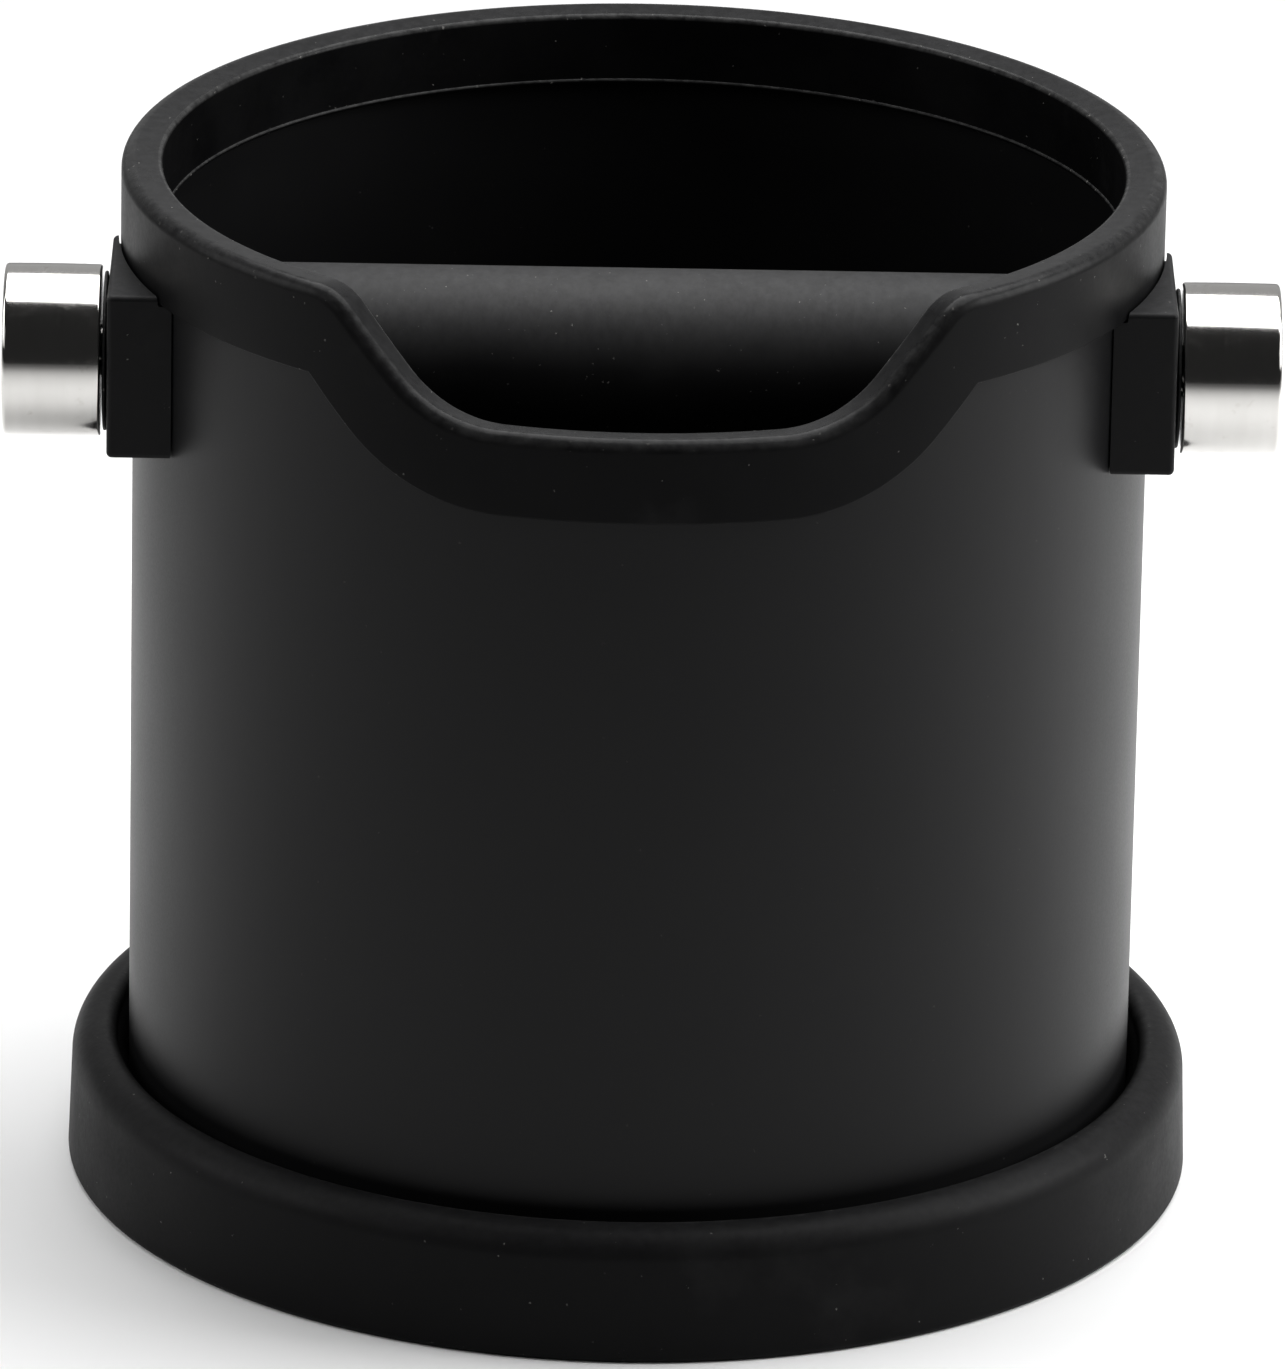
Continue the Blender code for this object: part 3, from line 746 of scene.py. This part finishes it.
def block(name, side, node_name):
    """Moulded rubber block: soft edges, hollow to the drum, notched under the trim, bored.

    Known fault: the notch leaves edges of no length, and the mesh is open after the cuts that
    follow.  On the left the spigot's inner end and the bore's wall are missing, and on the right
    there are slits towards the drum.  Other pieces hide all of it at rest.
    """
    low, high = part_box(node_name)
    outer_x = max(abs(low.x), abs(high.x))
    inner_x = INSIDE_WALL_X
    soft = 0.0008
    bm = bmesh.new()
    bmesh.ops.create_cube(bm, size=1.0)
    bmesh.ops.scale(bm, vec=(outer_x - inner_x, high.y - low.y, high.z - low.z), verts=bm.verts)
    bmesh.ops.bevel(bm, geom=list(bm.edges), offset=soft, segments=6, profile=0.5, affect="EDGES")
    middle = Vector((side * (outer_x + inner_x) / 2, (low.y + high.y) / 2, (low.z + high.z) / 2))
    bmesh.ops.translate(bm, vec=middle - BAR_AXIS, verts=bm.verts)
    made = add_mesh(name, bm, BAR_AXIS)
    cut(made, beside_bar(DRUM_R + GAP, BLOCK_CUTTER_HALF))
    cut(made, upright(TRIM_OUT_R + GAP, EDGE_Z - TRIM_OUT_DROP - GAP, EDGE_Z + CUTTER_MARGIN))
    cut(made, rod(SPIGOT_R, INSIDE_WALL_X, SPIGOT_END_X, side), "UNION")
    cut(made, beside_bar(DRUM_R - WALL, SPIGOT_CUTTER_HALF))
    cut(made, rod(BORE_R, INSIDE_WALL_X - CUTTER_MARGIN, OUTSIDE_WALL_X + CUTTER_MARGIN, side))
    return made


def knob(name, side, radius, low, high):
    """Turned knob: lightly crowned side, softened edges, plain faced end and a blind socket."""
    socket = low + SOCKET_DEPTH
    chamfer = 0.0004
    soft = 0.0006
    crown = 0.00006
    rows = 12
    profile = [(BORE_R, low)] + line((BORE_R, low), (radius - chamfer - crown, low), 5)
    profile += arc((radius - chamfer - crown, low + chamfer), chamfer, 270, 360, 5)[1:]
    side_low = profile[-1][1]
    side_high = high - soft
    for i in range(1, rows):
        part = i / rows
        bulge = crown * (1 - (2 * part - 1) ** 2)
        profile.append((radius - crown + bulge, side_low + (side_high - side_low) * part))
    profile += arc((radius - crown - soft, side_high), soft, 0, 90, 12)
    profile += line(profile[-1], (0.0, high), 9)
    profile += [(0.0, socket), (BORE_R, socket)]
    return add_mesh(name, laid_on_bar(spun(profile, SMALL_STEPS), side), BAR_AXIS)


def stud(name, side, radius, low, high):
    """Threaded stud: a right-hand M8 thread as real relief, with a tapered tip."""
    rows = int((high - low) / THREAD_PITCH * THREAD_ROWS)
    columns = []
    for j in range(STUD_STEPS):
        angle = math.tau * j / STUD_STEPS
        column = [(side * low, 0.0, 0.0)]
        for i in range(rows + 1):
            out = low + (high - low) * i / rows
            turns = side * out / THREAD_PITCH - angle / math.tau
            phase = abs(turns % 1.0 - 0.5) * 2.0
            relief = min(max((phase - THREAD_CREST_SHARE) / THREAD_FLANK_SHARE, 0.0), 1.0)
            tip = min((out - low) / STUD_TIP, 1.0)
            taper = STUD_TIP_SHARE + (1.0 - STUD_TIP_SHARE) * tip
            here = (radius - THREAD_DEPTH * relief) * taper
            column.append((side * out, here * math.cos(angle), here * math.sin(angle)))
        column.append((side * high, 0.0, 0.0))
        columns.append(column)
    wear = np.zeros(rows + 3)
    return add_mesh(name, grid_mesh(columns, [wear] * STUD_STEPS), BAR_AXIS)


for side, word in ((-1, "left"), (1, "right")):
    low, high, radius = span(f"end_washer_{word}", side)
    piece = washer(f"bar_end_washer_{word}", side, radius, low, high)
    dressed(piece, washer_steel, f"end_washer_{word}", "bar")
    low, high, radius = span(f"inner_seat_{word}", side)
    piece = inner_seat(f"wall_seat_{word}", side, radius, low)
    dressed(piece, block_rubber, f"inner_seat_{word}", "drum")
    piece = block(f"wall_block_{word}", side, f"mounting_block_{word}")
    dressed(piece, block_rubber, f"mounting_block_{word}", "drum")
    # The washer between knob and block takes the dark block rubber: painted shade that keeps the
    # gap between them dark.
    low, high, radius = span(f"thrust_washer_{word}", side)
    piece = washer(f"knob_washer_{word}", side, radius, low, high)
    dressed(piece, block_rubber, f"thrust_washer_{word}", f"washer_{word}")
    low, high, radius = span(f"knob_{word}", side)
    piece = knob(f"turned_knob_{word}", side, radius, low, high)
    dressed(piece, knob_steel, f"knob_{word}", f"knob_{word}")
    low, high, radius = span(f"knob_stud_{word}", side)
    piece = stud(f"threaded_stud_{word}", side, radius, low, high)
    dressed(piece, stud_steel, f"knob_stud_{word}", f"knob_{word}")


# ---------------------------------------------------------------- floor, light and camera

def pale_floor():
    """A large pale matt sheet, with faint mottling so that it isn't one flat colour."""
    mesh = bpy.data.meshes.new("floor")
    half = 8.0
    corners = [(-half, -half, 0.0), (half, -half, 0.0), (half, half, 0.0), (-half, half, 0.0)]
    mesh.from_pydata(corners, [], [(0, 1, 2, 3)])
    floor = bpy.data.objects.new("floor", mesh)
    bpy.context.scene.collection.objects.link(floor)
    made, tree, shader, coords, _ = start_material("pale studio floor")
    mottle = noise(tree, coords.outputs["Object"], scale=14.0, detail=3.0, roughness=0.5)
    tint = blend(tree, mottle, FLOOR_DARK, FLOOR_PALE)
    tree.links.new(tint, shader.inputs["Base Color"])
    tree.links.new(ranged(tree, mottle, 0.3, 0.7, 0.75, 0.85), shader.inputs["Roughness"])
    shader.inputs["Specular IOR Level"].default_value = 0.1
    mesh.materials.append(made)


def softbox(name, place, target, width, height, watts):
    """A large area light aimed at a point, which the camera doesn't see."""
    lamp = bpy.data.lights.new(name, "AREA")
    lamp.shape = "RECTANGLE"
    lamp.size = width
    lamp.size_y = height
    lamp.energy = watts
    made = bpy.data.objects.new(name, lamp)
    made.location = place
    made.rotation_euler = (Vector(target) - Vector(place)).to_track_quat("-Z", "Y").to_euler()
    made.visible_camera = False
    bpy.context.scene.collection.objects.link(made)


def surround():
    """Soft room light: pale behind the object and to its right, a dark room in front of it."""
    world = bpy.data.worlds.new("studio surround")
    world.use_nodes = True
    tree = world.node_tree
    background = tree.nodes["Background"]
    direction = node(tree, "ShaderNodeTexCoord").outputs["Generated"]
    parts = node(tree, "ShaderNodeSeparateXYZ", {0: direction})
    front_strength = 0.022
    back_strength = 0.45
    across = calc(tree, "MULTIPLY", parts.outputs[0], 0.35)
    aim = calc(tree, "ADD", parts.outputs[1], across)
    strength = ranged(tree, aim, -0.10, 0.80, front_strength, back_strength)
    tree.links.new(strength, background.inputs["Strength"])
    background.inputs["Color"].default_value = (1.0, 1.0, 1.0, 1.0)
    bpy.context.scene.world = world


pale_floor()
surround()
softbox("overhead", (0.08, 0.22, 0.80), (0.03, 0.10, 0.0),
        width=0.95, height=0.72, watts=10.0)
softbox("right side", (0.55, -0.03, 0.34), (0.03, -0.05, 0.0),
        width=0.35, height=0.35, watts=2.9)
softbox("left side", (-0.55, -0.03, 0.34), (-0.03, -0.05, 0.0),
        width=0.35, height=0.35, watts=1.2)
softbox("right front", (0.60, -0.55, 0.55), (0.05, -0.12, 0.0),
        width=0.40, height=0.40, watts=0.5)
softbox("left front", (-0.60, -0.55, 0.55), (-0.05, -0.12, 0.0),
        width=0.40, height=0.40, watts=0.5)

# Camera: a long lens from in front and above, as in the photo, with its slight roll.
CAMERA_LENS = 372.2
CAMERA_SHIFT = 0.0069
CAMERA_DISTANCE = 2.1093
CAMERA_ELEVATION = math.radians(20.39)
CAMERA_AZIMUTH = math.radians(-0.40)
CAMERA_ROLL = math.radians(1.086)
CAMERA_TARGET = Vector((0.0, 0.0, 0.07415))

lens = bpy.data.cameras.new("camera")
lens.sensor_width = 36.0
lens.lens = CAMERA_LENS
lens.shift_x = CAMERA_SHIFT
back = Vector((math.sin(CAMERA_AZIMUTH) * math.cos(CAMERA_ELEVATION),
               -math.cos(CAMERA_AZIMUTH) * math.cos(CAMERA_ELEVATION),
               math.sin(CAMERA_ELEVATION)))
level = Vector((math.cos(CAMERA_AZIMUTH), math.sin(CAMERA_AZIMUTH), 0.0))
rise = back.cross(level)
right = level * math.cos(CAMERA_ROLL) + rise * math.sin(CAMERA_ROLL)
up = rise * math.cos(CAMERA_ROLL) - level * math.sin(CAMERA_ROLL)
eye = CAMERA_TARGET + back * CAMERA_DISTANCE
camera = bpy.data.objects.new("camera", lens)
camera.matrix_world = Matrix(((right.x, up.x, back.x, eye.x),
                              (right.y, up.y, back.y, eye.y),
                              (right.z, up.z, back.z, eye.z),
                              (0.0, 0.0, 0.0, 1.0)))
lens.clip_start = 0.05
lens.clip_end = 40.0
bpy.context.scene.collection.objects.link(camera)
bpy.context.scene.camera = camera
bpy.context.scene.view_settings.view_transform = "Standard"
